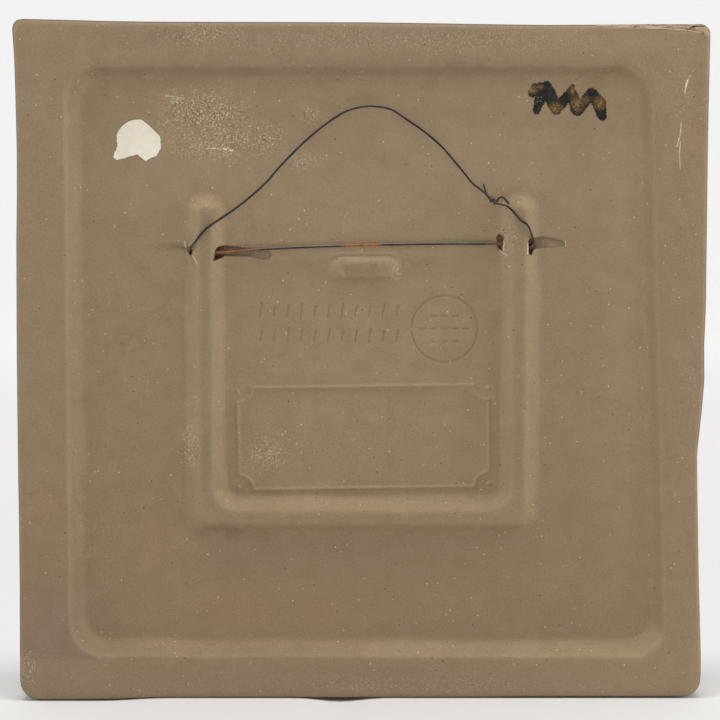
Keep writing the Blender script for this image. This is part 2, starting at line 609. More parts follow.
def mark_distance(x, z):
    """How far from the nearest pressed mark's middle line a place is."""
    nearest = np.abs(np.hypot(x - RING_X, z - RING_Z) - RING_RADIUS)
    for start, end in stroke_lines():
        nearest = np.minimum(nearest, capsule(x, z, start, end)[0])
    return nearest


def torn_above(x, z):
    """How far above the torn facet's lower edge a place is."""
    return z - np.interp(x, *zip(*TORN_EDGE))


def torn_depth(x, z):
    """Depth of the torn facet at the upper right corner, or 0 where it isn't."""
    above = torn_above(x, z)
    flaky = 0.25 * waves(x, z, 5, 3) + 0.3 * np.sin(above * 4.2 + 1.5 * waves(x, z, 14, 2))
    depth = TORN_STEP * smooth_step(above / 0.6) + TORN_SLOPE * np.maximum(above, 0) + flaky
    return np.where((above > 0) & (x > 0), depth, 0)


def scratch_place(x, z):
    """How far outside the nearest pale scratch or chip a place is, and how pale that one is."""
    nearest, pale = np.full(np.shape(x), 1e3), np.zeros(np.shape(x))
    for start, end, half, strength in SCRATCHES:
        away = capsule(x, z, start, end)[0] - half
        pale = np.where(away < nearest, strength, pale)
        nearest = np.minimum(nearest, away)
    return nearest, pale


def patches(x, z, spots):
    """Strength of a kind of mark at each place, from soft patches."""
    total = np.zeros(np.shape(x))
    for middle_x, middle_z, wide, high, strength in spots:
        far = np.hypot((x - middle_x) / wide, (z - middle_z) / high)
        total = np.maximum(total, strength * fading(far, 1.3))
    return total


def ridge_rise(x, z, ridge_high):
    """How far the U-shaped ridge rises from the field at each place."""
    out = ridge_distance(x, z) + RIDGE_UNEVEN * waves(x, z, 30, 2)
    level = np.interp(out, *softened(RIDGE_SECTION, RIDGE_SOFT))
    top, foot = RIDGE_SECTION[0][1], RIDGE_SECTION[-1][1]
    return (foot - level) * ridge_high / (foot - top)


def with_mouldings(depth, x, z):
    """A depth with the grip, its slot, the bead, the dots, the strokes and the faint grooves added to it."""
    depth = depth - np.interp(inside_rounded(x, z, GRIP), *softened(GRIP_SECTION, GRIP_SOFT))
    depth = depth + np.interp(inside_rounded(x, z, SLOT), *softened(SLOT_SECTION, SLOT_SOFT))
    bead = BEAD_RISE * fading(bead_distance(x, z) / BEAD_HALF, 1.25)
    depth = depth - bead * (0.85 + 0.25 * waves(x, z, 45, 9))
    depth = depth - DOT_RISE * fading(dot_distance(x, z) / DOT_RADIUS, 1.15)
    depth = depth + STROKE_DEEP * fading(mark_distance(x, z) / STROKE_HALF, 1.3)
    for x0, z0, x1, z1 in FAINT_GROOVES:
        away, along = capsule(x, z, (x0, z0), (x1, z1))
        depth = depth + GROOVE_DEEP * fading(away, GROOVE_HALF) * along
    return depth


def with_mouths(depth, x, z):
    """A depth with the holes' chipped mouths and the drill's grooves sunk into it."""
    for outline, floor in MOUTHS:
        places, hollow, _ = np.array(floor).T
        away = outline_distance(x, z, outline) + 0.15 * waves(x, z, 2.5, 4)
        hollow = np.interp(x, places, hollow) + FLOOR_UNEVEN * waves(x, z, 3, 2)
        depth = np.maximum(depth, depth + (hollow - depth) * fading(away + 0.45, 0.6))
    return depth


def back_depth(x, z, sizes):
    """Depth y of the back's surface at each place, before the wire holes are bored."""
    inset = recess_inset(x, z)
    worn = inset + EDGE_UNEVEN * waves(x, z, 38, 5) * smooth_step((inset + 4) / 6)
    depth = sizes.recess_depth / MM * np.interp(worn, *softened(RECESS_SECTION, RECESS_SOFT))
    rise = ridge_rise(x, z, sizes.ridge_height / MM)
    depth = depth - np.where(inset > RECESS_SECTION[-2][0], rise, 0)
    depth = with_mouldings(depth, x, z)
    swell = sum(high * waves(x, z, size, order) for size, order, high in SWELLS)
    depth = depth + swell * smooth_step((inset + 1) / 6) * (1 - 0.5 * (rise > 0))
    depth = depth + TOPS_UNEVEN * waves(x, z, 2.3, 11) * patches(x, z, CHIPPED_TOPS)
    rim = RIM_UNEVEN * (1 + waves(x, z, 60, 7)) * fading(inset + 6, 6)
    depth = np.maximum(depth + rim, torn_depth(x, z))
    return with_mouths(depth, x, z)


# The slab's mesh

def filled(marks, step):
    """The marks in order, with even ones between them wherever the gap is wider than the step."""
    marks = sorted(marks)
    lines = [marks[0]]
    for mark in marks[1:]:
        count = max(1, math.ceil((mark - lines[-1]) / step - 0.01))
        lines.extend(np.linspace(lines[-1], mark, count + 1)[1:])
    return np.array(lines)


def grid_lines():
    """Where the mesh's upright and level lines run: close together along the recess's wall and the ridge."""
    ridge = [sign * out for sign in (-1, 1) for out in RIDGE_LINES]
    edge = np.array([HALF_WIDE, HALF_HIGH]) - BACK_ROUNDING
    columns = [-edge[0], edge[0]] + [sign * (RECESS_HALF_WIDE - i) for sign in (-1, 1) for i in WALL_LINES]
    columns += [RIDGE_MIDDLE + sign * RIDGE_SPAN + out for sign in (-1, 1) for out in ridge]
    rows = [-edge[1], edge[1]] + [sign * (RECESS_HALF_HIGH - i) for sign in (-1, 1) for i in WALL_LINES]
    rows += [RIDGE_BAR + out for out in ridge]
    return filled(columns, GRID_STEP), filled(rows, GRID_STEP)


def back_grid():
    """A flat grid over the back, whose lines are moved to where the relief needs them."""
    columns, rows = grid_lines()
    mesh = bmesh.new()
    bmesh.ops.create_grid(mesh, x_segments=len(columns) - 1, y_segments=len(rows) - 1, size=0.5)
    for vertex in mesh.verts:
        column = round((vertex.co.x + 0.5) * (len(columns) - 1))
        row = round((vertex.co.y + 0.5) * (len(rows) - 1))
        vertex.co = (columns[column], 0, rows[row])
    return mesh


def refine(mesh, wanted):
    """Halves each edge whose middle is wanted, and the faces beside it."""
    edges = list(mesh.edges)
    middles = np.array([(edge.verts[0].co + edge.verts[1].co) / 2 for edge in edges])
    long = np.array([edge.calc_length() for edge in edges])
    x, z = middles[:, 0], middles[:, 2]
    x = x + recess_shift(x, z)
    chosen = [edge for edge, yes in zip(edges, wanted(x, z, long)) if yes]
    bmesh.ops.subdivide_edges(mesh, edges=chosen, cuts=1, use_grid_fill=True)


def fine_zone(x, z, long):
    """Where the relief bends across the grid, for a mesh of about 0.7 mm."""
    inset = recess_inset(x, z)
    corner = (inset > -1.5) & (inset < 9.5) & (np.abs(x) > 108) & (np.abs(z) > 110)
    out = ridge_distance(x, z)
    bend = (out < 10.5) & ((z < -44) & (np.abs(x - RIDGE_MIDDLE) > 44) | (z > 63))
    grip = inside_rounded(x, z, GRIP) > -1.5
    panel = (bead_distance(x, z) < 2.6) | (dot_distance(x, z) < 3)
    marks = (mark_distance(x, z) < 2.4) | (scratch_place(x, z)[0] < 1.6)
    ink = ink_distance(x, z) < 3
    torn = (torn_above(x, z) > -1.5) & (x > 90)
    holes = (np.abs(z - 51.5) < 8) & (np.abs(x - RIDGE_MIDDLE) > 36) & (np.abs(x) < 98)
    return (long > 0.75) & (corner | bend | grip | panel | marks | ink | torn | holes)


def finest_zone(x, z, long):
    """Where thin beads, strokes and chipped edges need a mesh of about 0.4 mm."""
    panel = (bead_distance(x, z) < 1.9) | (dot_distance(x, z) < 2.2)
    chipped = (scratch_place(x, z)[0] < 0.7) | (torn_above(x, z) > -0.7) & (x > 90)
    for outline, _ in MOUTHS:
        chipped |= np.abs(outline_distance(x, z, outline)) < 1.2
    return (long > 0.45) & (panel | chipped | (mark_distance(x, z) < 1.5) | (ink_distance(x, z) < 1))


def hair_zone(x, z, long):
    """Where scratches need a mesh of about 0.2 mm."""
    return (long > 0.25) & (scratch_place(x, z)[0] < 0.3)


def edge_layers(mesh):
    """Stores on each vertex of the grid's edge which way the slab's edge faces and what it turns about."""
    layers = [mesh.verts.layers.float.new(name) for name in ("foot_x", "foot_z", "way_x", "way_z")]
    core = core_size(BACK_ROUNDING)
    for vertex in mesh.verts:
        if not vertex.is_boundary:
            continue
        place = np.array([vertex.co.x, vertex.co.z])
        foot = np.clip(place, -core, core)
        way = (place - foot) / np.linalg.norm(place - foot)
        for layer, value in zip(layers, (*(foot / core), *way)):
            vertex[layer] = value
    return layers


def place_ring(vertices, layers, inset, depth):
    """Moves the edge's vertices to the outline at an inset, at a depth or lower where the corner is torn."""
    foot_x, foot_z, way_x, way_z = (np.array([v[layer] for v in vertices]) for layer in layers)
    core, radius = core_size(inset), corner_radius(inset)
    x, z = wandered(foot_x * core[0] + way_x * radius, foot_z * core[1] + way_z * radius)
    rough = TRIM_UNEVEN * waves(x + z, z - x, 11, 5) * (depth > 1)
    y = np.minimum(np.maximum(depth + rough, torn_depth(x, z)), SLAB_BOX[1].y / MM)
    x = np.clip(x, SLAB_BOX[0].x / MM, SLAB_BOX[1].x / MM)
    for vertex, place in zip(vertices, zip(x, y, z)):
        vertex.co = place


def slab_blank(sizes):
    """The whole slab in millimetres, with its relief and front but without the wire holes."""
    mesh = back_grid()
    refine(mesh, fine_zone)
    refine(mesh, fine_zone)
    refine(mesh, finest_zone)
    refine(mesh, hair_zone)
    layers = edge_layers(mesh)
    ring = [vertex for vertex in mesh.verts if vertex.is_boundary]
    inner = [vertex for vertex in mesh.verts if not vertex.is_boundary]
    x, z = np.array([(vertex.co.x, vertex.co.z) for vertex in inner]).T
    x, z = wandered(x + recess_shift(x, z), z)
    for vertex, place in zip(inner, zip(x, back_depth(x, z, sizes), z)):
        vertex.co = place
    place_ring(ring, layers, BACK_ROUNDING, 0)
    edges = [edge for edge in mesh.edges if edge.is_boundary]
    back_section = [(BACK_ROUNDING * (1 - math.sin(t)), BACK_ROUNDING * (1 - math.cos(t))) for t in
                    (0.4, 0.8, 1.2, math.pi / 2)]
    thick = sizes.thickness / MM
    sections = back_section + [(0, 5.0)] + [(inset, thick - up) for inset, up in FRONT_SECTION]
    for inset, depth in sections:
        grown = bmesh.ops.extrude_edge_only(mesh, edges=edges)["geom"]
        edges = [item for item in grown if isinstance(item, bmesh.types.BMEdge) and item.is_boundary]
        ring = list({vertex for edge in edges for vertex in edge.verts})
        place_ring(ring, layers, inset, depth)
    bmesh.ops.pointmerge(mesh, verts=ring, merge_co=(0, thick - FRONT_SECTION[-1][1], 0))
    faced_out(mesh)
    return mesh


def bore_cutter(exit_end, entry_end):
    """The solid that the drill takes out of a leg, a little narrower where it comes out."""
    mesh = bmesh.new()
    start, end = Vector(exit_end[:3]), Vector(entry_end[:3])
    turn = (end - start).to_track_quat("Z", "Y").to_matrix().to_4x4()
    bmesh.ops.create_cone(
        mesh, cap_ends=True, segments=28, radius1=exit_end[3], radius2=entry_end[3],
        depth=(end - start).length, matrix=Matrix.Translation((start + end) / 2) @ turn,
    )
    set_down(mesh)
    return mesh_object("bore", mesh)


def bored(obj, cutters):
    """Cuts the holes out of an object and leaves its mesh finished."""
    for cutter in cutters:
        cut = obj.modifiers.new("hole", "BOOLEAN")
        cut.operation = "DIFFERENCE"
        cut.solver = "EXACT"
        cut.object = cutter
    data = finished_data(obj)
    obj.modifiers.clear()
    old, obj.data = obj.data, data
    bpy.data.meshes.remove(old)
    data.name = obj.name
    for cutter in cutters:
        bpy.data.objects.remove(cutter)
    data.set_sharp_from_angle(angle=math.radians(55))


# Marks on the slab that are only colour

def ink_distance(x, z):
    """Signed distance from the felt-pen zigzag's edge, negative in the ink."""
    nearest = np.full(np.shape(x), 1e3)
    for (x0, z0, wide0), (x1, z1, wide1) in INK_DABS:
        away, along = capsule(x, z, (x0, z0), (x1, z1))
        nearest = np.minimum(nearest, away - wide0 - (wide1 - wide0) * along)
    return nearest


def rust_beside_wire(x, z):
    """Strength of the rust stains that the wire left."""
    total = np.zeros(len(x))
    for start, end, half, strength in RUST_LINES:
        total = np.maximum(total, strength * fading(capsule(x, z, start, end)[0] / half, 1.6))
    return total


def mouth_dirt(x, z):
    """Strength of the dirt in the holes' mouths and the drill's grooves."""
    total = np.zeros(len(x))
    for outline, floor in MOUTHS:
        places, _, dirt = np.array(floor).T
        away = outline_distance(x, z, outline)
        edge = 0.35 * fading(np.abs(away + 0.4), 0.5)
        here = fading(away + 0.6, 1.0)
        total = np.maximum(total, here * np.interp(x, places, dirt) + edge)
    start, end, half, strength = DIRT_STREAK
    away, along = capsule(x, z, start, end)
    return np.clip(total, strength * along * fading(away, half), 1)


def wear(x, z):
    """Strength of the rubbed look on the rim's inner edge and the ridge's top."""
    rim_edge = fading(np.abs(recess_inset(x, z) - 1.0), 1.8)
    ridge_top = fading(np.abs(ridge_distance(x, z) - 2.6), 2.2) * (np.abs(z) < 100)
    return np.maximum(rim_edge, 0.7 * ridge_top)


def arris(x, y, z):
    """Strength of the dirt along the slab's back edge."""
    band = smooth_step((y - 0.6) / 0.6) * fading(y - 3.5, 2)
    return band * (recess_inset(x, z) < -15) * ((torn_above(x, z) < 0) | (x < 90))


def paling(x, z):
    """How much more light than its mean the clay gives back at each place."""
    field = np.interp(z, *zip(*FIELD_PALING)) + RIGHT_FIELD_PALING * smooth_step((x - 95) / 20)
    rim = np.where(x < 0, np.interp(z, *zip(*LEFT_PALING)), np.interp(z, *zip(*RIM_PALING)))
    rim = np.where(np.abs(z) > 131, np.interp(z, *zip(*RIM_PALING)), rim)
    inside = smooth_step((recess_inset(x, z) - 3) / 6)
    under_top = np.exp(-(((RECESS_HALF_HIGH - z - 4.8) / 5.5) ** 2)) * smooth_step((124 - np.abs(x)) / 12)
    by_right = np.exp(-(((RECESS_HALF_WIDE + RECESS_SHIFT_RIGHT - RECESS_LEAN * z - x - 3.5) / 4) ** 2))
    by_right = by_right * smooth_step((124 - np.abs(z)) / 12)
    walls = TOP_WALL_DARKER * under_top + RIGHT_WALL_DARKER * by_right
    out, top_out = ridge_distance(x, z), ridge_distance(x + LEG_TOP_SHIFT * (x > 0), z)
    flank = FLANK_PALER * fading(np.abs(out - 5), 3)
    top, foot = fading(top_out - 1.8, 1.8), np.exp(-((out - 9) ** 2))
    leg = (LEG_TOP_DARKER * top + LEG_FOOT_DARKER * foot) * smooth_step((z + 60) / 12)
    paler = patches(x, z, PALER_PATCHES) - patches(x, z, (GRIP_SHADE,))
    return (1 + inside * field + (1 - inside) * rim - walls + flank - leg + paler) ** SCREEN_GAMMA


def mark_slab(data):
    """Stores how strong each mark of the slab's surface is at each vertex, for the material to read."""
    x, y, z = drawn_heights(coordinates(data))
    on_back = y < BACK_MARKS_TO
    scratch, pale = scratch_place(x, z)
    marks = {
        "pale": pale,
        "scuff": patches(x, z, SCUFFS),
        "smudge": patches(x, z, SMUDGES),
        "redder": patches(x, z, REDDER),
        "greyer": patches(x, z, GREYER),
        "rust": rust_beside_wire(x, z),
        "dirt": mouth_dirt(x, z),
        "wear": wear(x, z),
        "torn": smooth_step((torn_above(x, z) + 0.4) / 0.6) * (x > 90),
        "arris": arris(x, y, z),
        "ink_worn": patches(x, z, INK_WORN),
        "ink_thick": patches(x, z, INK_THICK),
    }
    for name, values in marks.items():
        write_attribute(data, name, values * on_back)
    write_attribute(data, "ink", np.where(on_back, np.clip(-ink_distance(x, z), -5, 5), -5))
    write_attribute(data, "scratch", np.where(on_back, np.clip(-scratch, -5, 5), -5))
    write_attribute(data, "paling", np.where(on_back, paling(x, z), 1))


# Materials

def blotches(tree, where, size, low, high, most=1.0, detail=3.0, stretch=(1, 1, 1)):
    """Uneven blotches about that many millimetres across, from 0 in the gaps to the most in their middles."""
    placed = add_node(tree, "ShaderNodeMapping", {"Vector": where, "Scale": stretch})
    cloud = add_node(tree, "ShaderNodeTexNoise", {
        "Vector": placed, "Scale": per_metre(size), "Detail": detail, "Roughness": 0.6,
    })
    return add_node(tree, "ShaderNodeMapRange", {0: cloud, 1: low, 2: high, 3: 0, 4: most},
                    interpolation_type="SMOOTHSTEP")


def speckles(tree, where, spacing, largest, most=1.0):
    """Small round specks in a few cells of that spacing, from 0 outside to the most inside.

    The cells stand aslant to all the slab's faces, so that there are as many specks on each.
    """
    aslant = add_node(tree, "ShaderNodeMapping", {"Vector": where, "Rotation": (0.6, 0.35, 0.5)})
    cell = {"Vector": aslant, "Scale": per_metre(spacing)}
    away = add_node(tree, "ShaderNodeTexVoronoi", cell, out="Distance")
    luck = add_node(tree, "ShaderNodeTexVoronoi", cell, out="Color")
    radius = add_node(tree, "ShaderNodeMapRange", {0: luck, 1: 0.6, 2: 0.85, 3: 0, 4: largest})
    inside = add_node(tree, "ShaderNodeMath", {0: radius, 1: away}, operation="SUBTRACT")
    return add_node(tree, "ShaderNodeMapRange", {0: inside, 1: 0, 2: 0.03, 3: 0, 4: most},
                    interpolation_type="SMOOTHSTEP")


def layered(tree, tone, layers):
    """A tone with others laid over it in turn, each as its strength and its colour."""
    for strength, colour in layers:
        tone = add_node(tree, "ShaderNodeMix", {0: strength, 6: tone, 7: colour}, out=2, data_type="RGBA")
    return tone


def felt_pen(tree, where, mark):
    """The ink's strength and tone: nearly black where it is thick, and brown where it is worn through."""
    frayed = add_node(tree, "ShaderNodeMath", {0: mark["ink"], 1: blotches(tree, where, 0.9, 0.2, 0.8, 0.9)})
    strength = add_node(tree, "ShaderNodeMapRange", {0: frayed, 1: 0.05, 2: 0.4},
                        interpolation_type="SMOOTHSTEP")
    tone = layered(tree, linear("171a17"), (
        (blotches(tree, where, 2.2, 0.35, 0.7), linear("33352a")),
        (blotches(tree, where, 0.7, 0.32, 0.52, mark["ink_worn"], 4), linear("80603a")),
        (blotches(tree, where, 0.9, 0.5, 0.6, mark["ink_worn"]), linear("a58549")),
        (mark["ink_thick"], linear("14171c")),
    ))
    return strength, tone


def fired_clay(tree, where, mark, colours):
    """The bare clay's tone: clouds, fine grit, small open pits in reddish brown and pale grog."""
    tone = layered(tree, list(colours.clay), (
        (blotches(tree, where, 55, 0.35, 0.65), list(colours.clay_warm)),
        (blotches(tree, where, 9, 0.3, 0.75, 0.5), list(colours.clay_dark)),
        (blotches(tree, where, 1.0, 0.3, 0.7, 0.26), linear("6d5d47")),
        (blotches(tree, where, 0.6, 0.62, 0.78, 0.4), linear("b5a488")),
        (speckles(tree, where, 2.9, 0.125, 0.75), linear("3a281b")),
        (speckles(tree, where, 2.1, 0.14, blotches(tree, where, 14, 0.42, 0.62, 0.6)), linear("4c3826")),
        (speckles(tree, where, 2.2, 0.16, blotches(tree, where, 20, 0.25, 0.55, 0.6)), linear("e6dcc4")),
    ))
    tinted = add_node(tree, "ShaderNodeVectorMath", {0: tone, "Scale": mark["paling"]}, operation="SCALE")
    for name, tint in (("redder", (1.07, 1.0, 0.99, 1)), ("greyer", (1.0, 0.97, 1.06, 1))):
        tinted = add_node(tree, "ShaderNodeMix", {0: mark[name], 6: tinted, 7: tint}, out=2, data_type="RGBA",
                          blend_type="MULTIPLY")
    return tinted


def stoneware(colours):
    """Unglazed stoneware, press-moulded and fired.

    The fired clay is matt and a little uneven in tone, with fine grit, small open pits and pale grog. Marks
    of a felt pen, scuffs, smudges and rust lie in its surface.
    """
    material, tree = new_material("unglazed stoneware")
    where = add_node(tree, "ShaderNodeTexCoord", out="Object")
    names = ("scuff", "smudge", "redder", "greyer", "rust", "dirt", "wear", "torn", "arris", "pale",
             "scratch", "ink", "ink_worn", "ink_thick", "paling")
    mark = {name: add_node(tree, "ShaderNodeAttribute", out="Fac", attribute_name=name) for name in names}
    scuff = blotches(tree, where, 4, 0.3, 0.5, mark["scuff"])
    worn = blotches(tree, where, 2.0, 0.2, 0.6, mark["wear"])
    strength, ink = felt_pen(tree, where, mark)
    hair = {0: mark["scratch"], 1: -0.2, 2: 0.05, 3: 0, 4: mark["pale"]}
    scratched = add_node(tree, "ShaderNodeMapRange", hair)
    darkened = add_node(tree, "ShaderNodeMath", {0: mark["arris"], 1: 0.9}, operation="MULTIPLY")
    tone = layered(tree, fired_clay(tree, where, mark, colours), (
        (blotches(tree, where, 9, 0.35, 0.65, mark["smudge"]), linear("5f4d3a")),
        (blotches(tree, where, 1.1, 0.54, 0.66, scuff), linear("6c5430")),
        (blotches(tree, where, 0.8, 0.54, 0.62, scuff), linear("dfd2b2")),
        (add_node(tree, "ShaderNodeMath", {0: worn, 1: 0.18}, operation="MULTIPLY"), linear("b3a184")),
        (blotches(tree, where, 1.0, 0.3, 0.5, mark["torn"], 2, (0.1, 1, 1)), linear("bda588")),
        (blotches(tree, where, 0.7, 0.56, 0.62, mark["torn"], 2, (0.12, 1, 1)), linear("5b4531")),
        (blotches(tree, where, 1.0, 0.0, 0.6, mark["dirt"]), linear("44342a")),
        (blotches(tree, where, 1.6, 0.3, 0.6, mark["rust"]), linear("8a4f20")),
        (darkened, linear("4a3d2d")),
        (strength, ink),
        (blotches(tree, where, 0.9, 0.25, 0.45, scratched), linear("e0d6c0")),
    ))
    grit = blotches(tree, where, 0.8, 0.1, 0.9)
    pits = speckles(tree, where, 2.9, 0.125)
    height = add_node(tree, "ShaderNodeMath", {0: grit, 1: pits}, operation="SUBTRACT")
    bump = add_node(tree, "ShaderNodeBump", {"Height": height, "Distance": 0.00012, "Strength": 0.7})
    flakes = blotches(tree, where, 1.0, 0.3, 0.7, mark["torn"], 2, (0.1, 1, 1))
    flaky = add_node(tree, "ShaderNodeBump", {"Height": flakes, "Distance": 0.0005, "Normal": bump})
    swell = add_node(tree, "ShaderNodeBump", {
        "Height": blotches(tree, where, 9, 0.1, 0.9), "Distance": 0.0004, "Strength": 0.5, "Normal": flaky,
    })
    shader = add_node(tree, "ShaderNodeBsdfPrincipled", {
        "Base Color": tone, "Roughness": 0.78, "Normal": swell, "IOR": 1.5, "Specular IOR Level": 0.35,
    })
    add_node(tree, "ShaderNodeOutputMaterial", {"Surface": shader})
    return material


def iron_wire(colours):
    """Annealed iron wire, drawn and bent by hand.

    Its dark scale has a thin film of drawing oil and is rubbed bright on the flanks. Rust has come through
    where the wire rests in the damp clay.
    """
    material, tree = new_material("annealed iron wire")
    where = add_node(tree, "ShaderNodeTexCoord", out="Object")
    mark = add_node(tree, "ShaderNodeAttribute", out="Fac", attribute_name="rust")
    bare = add_node(tree, "ShaderNodeAttribute", out="Fac", attribute_name="bare")
    rusty = blotches(tree, where, 0.8, 0.2, 0.55, mark)
    rust = layered(tree, linear("6b3c1a"), ((blotches(tree, where, 0.5, 0.3, 0.7), linear("bd6c30")),))
    tone = layered(tree, list(colours.iron), (
        (blotches(tree, where, 3, 0.4, 0.62), linear("3b3937")),
        (blotches(tree, where, 2, 0.1, 0.5, bare), linear("c9c4ba")),
        (rusty, rust),
    ))
    metal = add_node(tree, "ShaderNodeMapRange", {0: rusty, 1: 0, 2: 0.5, 3: 0.8, 4: 0})
    rough = add_node(tree, "ShaderNodeMapRange", {0: rusty, 1: 0, 2: 0.6, 3: 0.3, 4: 0.9})
    fine = blotches(tree, where, 0.5, 0.1, 0.9)
    bump = add_node(tree, "ShaderNodeBump", {"Height": fine, "Distance": 0.00006, "Strength": 0.5})
    shader = add_node(tree, "ShaderNodeBsdfPrincipled", {
        "Base Color": tone, "Metallic": metal, "Roughness": rough, "Normal": bump, "Coat Weight": 0.5,
        "Coat Roughness": 0.15, "Coat Normal": bump,
    })
    add_node(tree, "ShaderNodeOutputMaterial", {"Surface": shader})
    return material


def sticker_paper(colours):
    """Coated label paper, die-cut and then torn.

    Its cream face is matt with faint mottling, and the torn edge shows the whiter core.
    """
    material, tree = new_material("coated label paper")
    where = add_node(tree, "ShaderNodeTexCoord", out="Object")
    edge = add_node(tree, "ShaderNodeAttribute", out="Fac", attribute_name="edge")
    tone = layered(tree, list(colours.paper), (
        (blotches(tree, where, 3, 0.3, 0.7), linear("f4ead4")),
        (edge, linear("fcf8ee")),
    ))
    fibre = blotches(tree, where, 0.35, 0.1, 0.9, 1, 2, (1, 1, 2.5))
    bump = add_node(tree, "ShaderNodeBump", {"Height": fibre, "Distance": 0.00003, "Strength": 0.5})
    shader = add_node(tree, "ShaderNodeBsdfPrincipled", {
        "Base Color": tone, "Roughness": 0.75, "IOR": 1.47, "Specular IOR Level": 0.3, "Normal": bump,
    })
    add_node(tree, "ShaderNodeOutputMaterial", {"Surface": shader})
    return material


def backdrop_paper():
    """Seamless white paper of the studio."""
    material, tree = new_material("white backdrop paper")
    where = add_node(tree, "ShaderNodeTexCoord", out="Object")
    away = add_node(tree, "ShaderNodeSeparateXYZ", {0: where}, out="Y")
    glow = add_node(tree, "ShaderNodeMapRange", {0: away, 1: 0.35, 2: 1.7, 3: 0, 4: 0.32})
    shader = add_node(tree, "ShaderNodeBsdfPrincipled", {
        "Base Color": linear("e2e1df"), "Roughness": 0.9, "Emission Color": linear("f6f6f8"),
        "Emission Strength": glow,
    })
    add_node(tree, "ShaderNodeOutputMaterial", {"Surface": shader})
    return material


# Wire and sticker

def smooth_route(points, closed, per_millimetre):
    """Even points along a smooth line through the given ones, by centripetal turns."""
    points = [Vector(p) for p in points]
    count = len(points)
    result = []
    for i in range(count if closed else count - 1):
        if closed:
            around = [points[(i + k) % count] for k in (-1, 0, 1, 2)]
        else:
            around = [points[min(max(i + k, 0), count - 1)] for k in (-1, 0, 1, 2)]
            if i == 0:
                around[0] = points[0] * 2 - points[1]
            if i == count - 2:
                around[3] = points[-1] * 2 - points[-2]
        knots = [0.0]
        for a, b in zip(around, around[1:]):
            knots.append(knots[-1] + max((b - a).length, 1e-4) ** 0.5)
        steps = max(2, round((around[2] - around[1]).length * per_millimetre))
        for step in range(steps):
            t = knots[1] + (knots[2] - knots[1]) * step / steps
            result.append(between(around, knots, t))
    if not closed:
        result.append(points[-1])
    return result


def between(around, knots, t):
    """The point at t on a Catmull-Rom line with these four points and knots."""
    def blend(a, b, low, high):
        return a * ((high - t) / (high - low)) + b * ((t - low) / (high - low))

    first = [blend(around[k], around[k + 1], knots[k], knots[k + 1]) for k in range(3)]
    second = [blend(first[k], first[k + 1], knots[k], knots[k + 2]) for k in range(2)]
    return blend(second[0], second[1], knots[1], knots[2])


def twist_points():
    """The loose end's turns round the loop, with its tails."""
    start, end = Vector(TWIST_FROM), Vector(TWIST_TO)
    along = (end - start).normalized()
    across = Vector((0, 1, 0))
    aside = along.cross(across).normalized()
    steps = TWIST_TURNS * 8
    turns = []
    for i in range(steps + 1):
        angle = i / steps * TWIST_TURNS * math.tau
        out = across * math.cos(angle) + aside * math.sin(angle)
        turns.append(start.lerp(end, i / steps) + TWIST_RADIUS * out)
    return [*TAIL_START, *turns, *TAIL_FINISH]


def wire_curve(radius):
    """The loop and its twisted end as one curve object in millimetres."""
    curve = bpy.data.curves.new("wire_route", "CURVE")
    curve.dimensions = "3D"
    curve.bevel_depth = radius
    curve.bevel_resolution = 4
    curve.use_fill_caps = True
    strands = ((WIRE_ROUTE, True, LOOP_FINENESS), (twist_points(), False, TWIST_FINENESS))
    for given, closed, fineness in strands:
        points = smooth_route(given, closed, fineness)
        spline = curve.splines.new("POLY")
        spline.points.add(len(points) - 1)
        for i, (place, point) in enumerate(zip(points, spline.points)):
            point.co = (*place, 1)
            flattened = 0.12 * math.exp(-(((place.x + 66) / 5) ** 2)) * (place.z > 55)
            point.radius = (1.0 if closed else 0.9) + 0.05 * math.sin(i * 0.31) + flattened
        spline.use_cyclic_u = closed
    return in_scene("wire_route", curve)


def wire_mesh(radius):
    """The wire as a bmesh in millimetres."""
    route = wire_curve(radius)
    data = finished_data(route)
    mesh = bmesh.new()
    mesh.from_mesh(data)
    bpy.data.meshes.remove(data)
    curve = route.data
    bpy.data.objects.remove(route)
    bpy.data.curves.remove(curve)
    bmesh.ops.remove_doubles(mesh, verts=mesh.verts, dist=0.001)
    faced_out(mesh)
    return mesh


def rubbed_flanks(data):
    """How bare of scale the wire is, which is most on its flanks."""
    facing = np.empty(len(data.vertices) * 3)
    data.vertex_normals.foreach_get("vector", facing)
    aside = np.sqrt(np.maximum(1 - facing.reshape(-1, 3)[:, 1] ** 2, 0))
    return smooth_step((aside - 0.8) / 0.22)


def wire_rust(data):
    """Strength of the rust along the wire's straight run and where it leaves the legs."""
    x, _, z = drawn_heights(coordinates(data))
    strength = np.zeros(len(x))
    for start, end, amount in RUSTY_RUN:
        middle, half = (start + end) / 2, (end - start) / 2
        beyond = (np.abs(x - middle) - half * 0.7) / (half * 0.5)
        strength = np.maximum(strength, amount * fading(beyond, 1))
    return strength * (z < 54) * (np.abs(x) < 66)


def sticker_outline():
    """The torn sticker's outline, from its round edge to its ragged one."""
    first, last = STICKER_ARC
    outline = []
    for i in range(ARC_STEPS + 1):
        angle = first + (last - first) * i / ARC_STEPS
        out = STICKER_RADIUS * math.cos(angle - STRAIGHTER_FACES) - STRAIGHTER_OUT
        back = STRAIGHTENED * max(out, 0)
        outline.append((STICKER_RADIUS * math.cos(angle) - back * math.cos(STRAIGHTER_FACES),
                        STICKER_RADIUS * math.sin(angle) - back * math.sin(STRAIGHTER_FACES)))
    ragged = [outline[-1], *STICKER_TORN, outline[0]]
    for a, b in zip(ragged, ragged[1:]):
        for i in range(1, TEAR_STEPS + 1):
            x, z = (np.array(a) + (np.array(b) - np.array(a)) * i / TEAR_STEPS)
            jag = TEAR_JAG * math.sin(x * 5.1 + z * 3.3) if i < TEAR_STEPS else 0.0
            outline.append((x + jag, z - jag))
    return outline[:-1]


